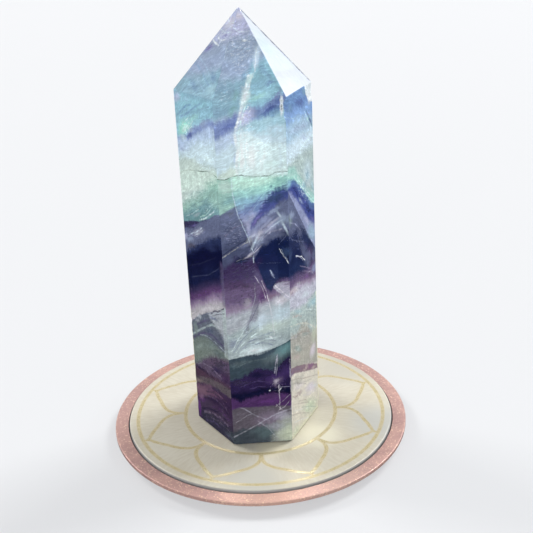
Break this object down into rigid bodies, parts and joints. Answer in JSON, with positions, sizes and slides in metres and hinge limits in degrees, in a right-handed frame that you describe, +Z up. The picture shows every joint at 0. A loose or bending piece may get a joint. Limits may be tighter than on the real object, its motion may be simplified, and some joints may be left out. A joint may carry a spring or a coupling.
{
  "type": "fluorite prism on a lotus plate",
  "caption": "Polished six-sided fluorite prism with a faceted point and colour bands, standing on an ivory disc with a gold-line lotus, let into a round rose-copper plate.",
  "frame": {"origin": "middle of the plate's underside, on the surface that it stands on", "axes": "+Z up along the crystal, -Y towards the crystal's broad front face"},
  "size_m": [0.1, 0.1, 0.1434],
  "materials": {
    "fluorite": "polished, see-through, banded in violet, blue, mint green and clear",
    "ivory": "satin ivory with fine gold lines",
    "rose_copper": "satin rose-copper with a fine sparkle"
  },
  "bodies": {
    "root": {"fluorite_prism": "fluorite", "lotus_disc": "ivory", "copper_plate": "rose_copper"}
  },
  "joints": []
}
